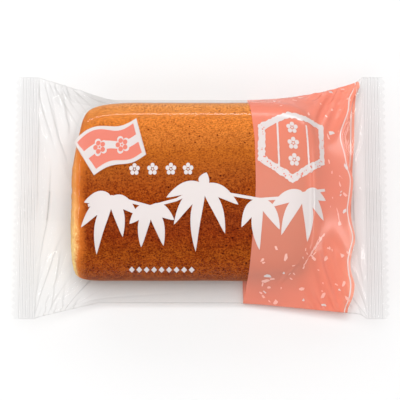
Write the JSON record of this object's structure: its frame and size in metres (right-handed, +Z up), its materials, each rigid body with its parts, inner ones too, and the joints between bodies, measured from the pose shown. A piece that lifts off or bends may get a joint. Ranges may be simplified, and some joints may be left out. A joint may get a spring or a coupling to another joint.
{
  "type": "kasumaki, a sponge roll in a clear film pack",
  "caption": "Browned sponge roll with rounded ends in a clear pillow pack, with a pale red printed band and crimped, saw-toothed end seals.",
  "frame": {"origin": "middle of the pack's footprint, on the surface that it lies on", "axes": "+X along the pack from the plain end to the printed end, +Y across it, +Z up"},
  "size_m": [0.13, 0.086, 0.0294],
  "materials": {
    "film": "clear polypropylene film, heat-crimped at both ends, glossy",
    "sponge": "browned castella sponge with fine pores, matte",
    "red_ink": "pale red ink printed on clear film",
    "white_ink": "opaque white ink printed on clear film"
  },
  "bodies": {
    "root": {"pack": "film"}
  },
  "joints": []
}
